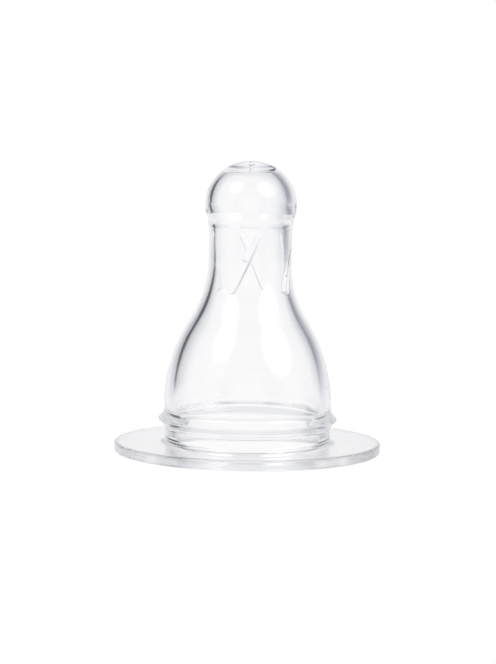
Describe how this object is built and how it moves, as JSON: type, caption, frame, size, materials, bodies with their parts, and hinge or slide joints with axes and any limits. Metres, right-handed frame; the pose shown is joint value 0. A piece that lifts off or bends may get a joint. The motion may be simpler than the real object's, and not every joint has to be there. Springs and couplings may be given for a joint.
{
  "type": "bottle teat",
  "caption": "Clear silicone bottle teat with a ball tip, ribbed neck, bell, retaining bead, collar groove and flat round flange.",
  "frame": {"origin": "centre of the underside of the flange, on the plane where the teat lies on the bottle's rim", "axes": "+Z along the teat's axis towards the feed hole; -Y is the side that faces the camera; +X is to its right"},
  "size_m": [0.037, 0.037, 0.0402],
  "materials": {
    "clear_silicone": "clear, glossy moulded silicone"
  },
  "bodies": {
    "root": {"teat": "clear_silicone"}
  },
  "joints": []
}
